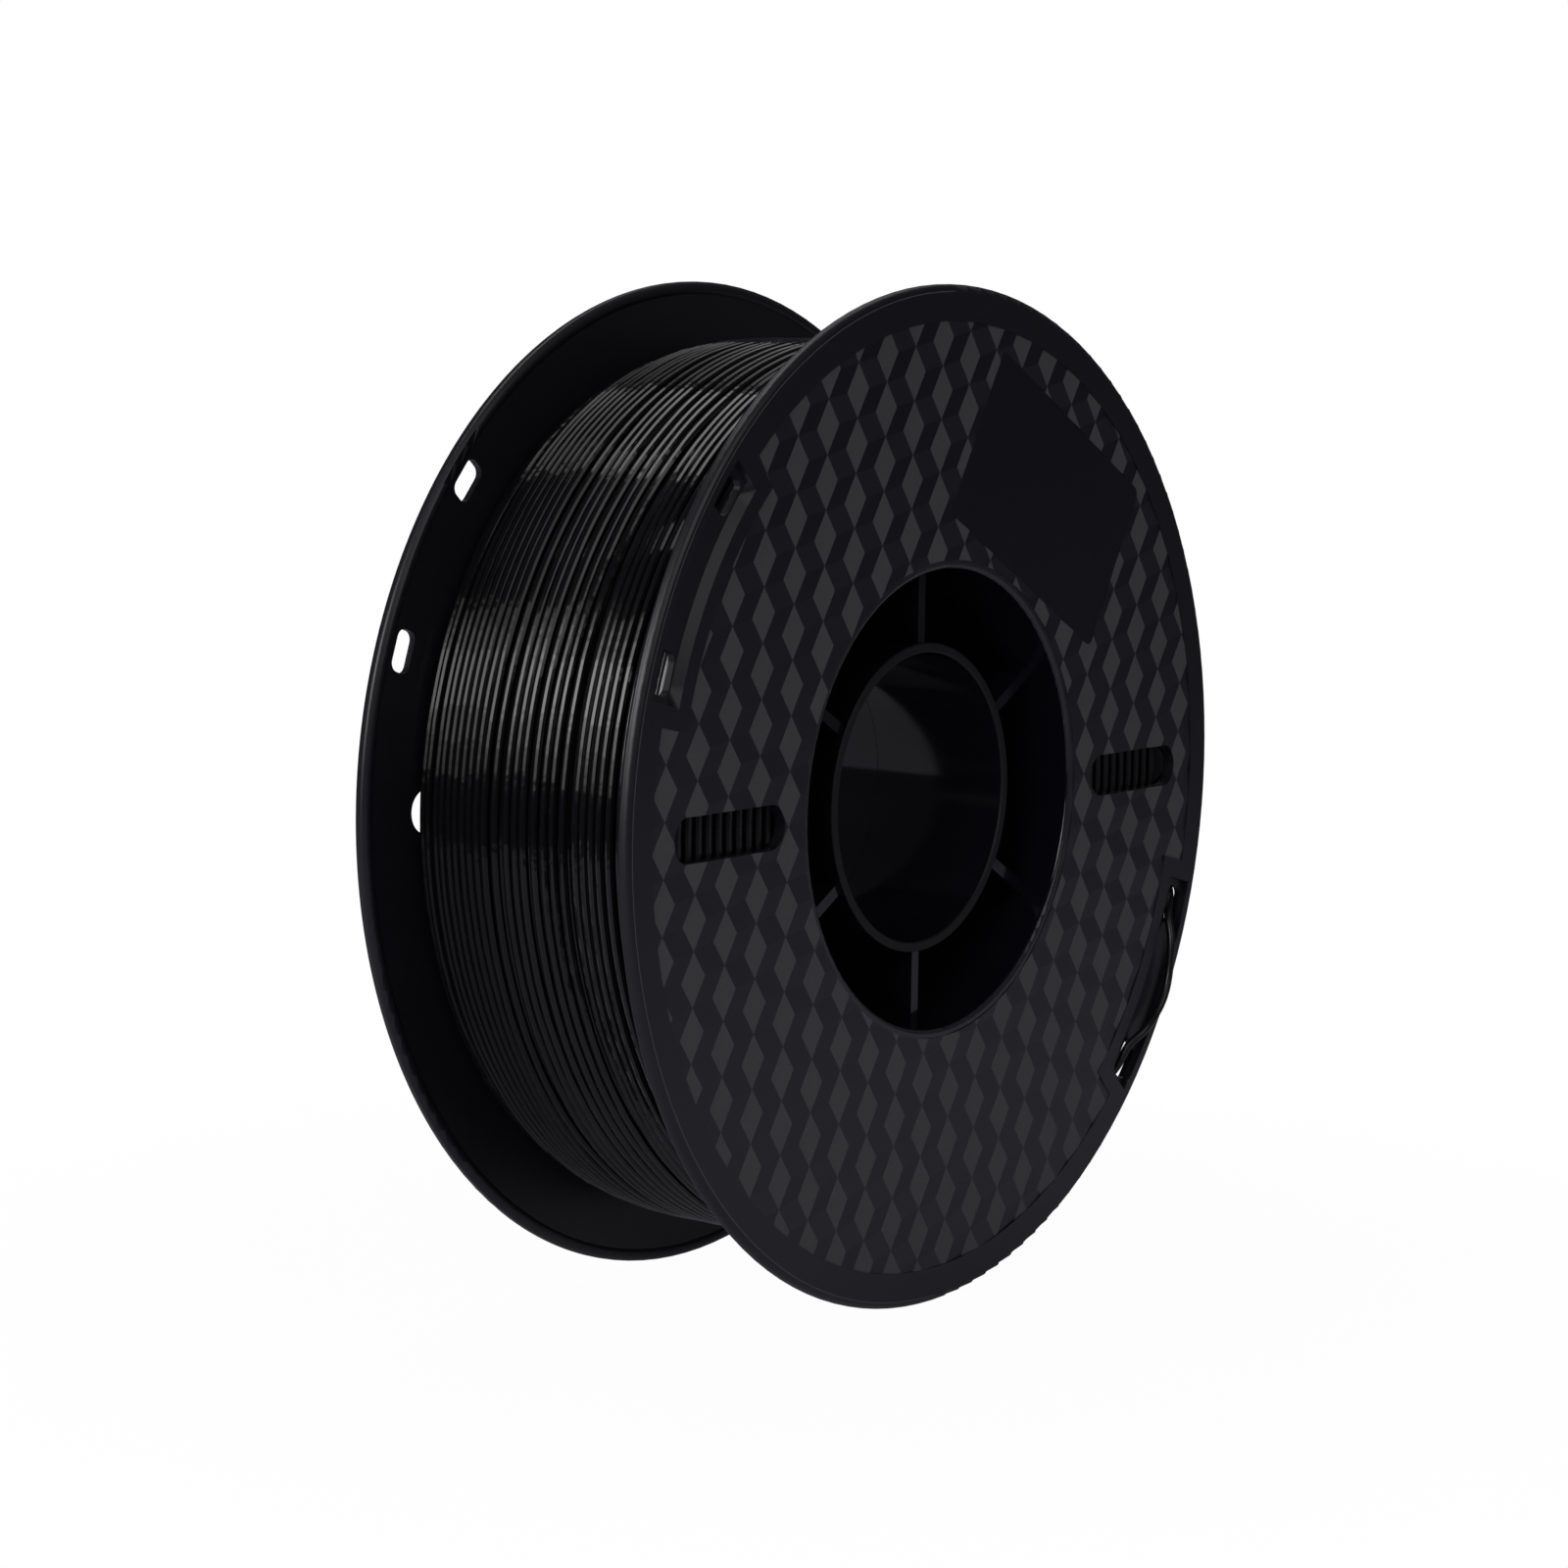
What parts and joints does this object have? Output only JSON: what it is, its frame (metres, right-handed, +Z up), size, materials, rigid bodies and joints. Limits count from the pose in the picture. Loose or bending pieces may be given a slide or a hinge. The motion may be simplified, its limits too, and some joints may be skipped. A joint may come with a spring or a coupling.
{
  "type": "filament spool",
  "caption": "Flat-flanged plastic spool with an open hub and ribbed bore tube, wound full of thin round filament whose free end is parked through a flange groove.",
  "frame": {"origin": "centre of the through bore, half way between the two flange faces", "axes": "+Y along the bore axis from the labelled front flange to the rear one, +Z up as the spool stands on its rims, +X to the right as seen from the front"},
  "size_m": [0.2, 0.0673, 0.2],
  "materials": {
    "spool_plastic": "satin black moulding with a fine texture",
    "filament": "glossy black extruded strand",
    "label_film": "flat near-black film, bare"
  },
  "bodies": {
    "root": {"front_half": "spool_plastic", "rear_half": "spool_plastic", "filament_winding": "filament", "filament_start": "filament", "filament_tail": "filament", "label": "label_film"}
  },
  "joints": []
}
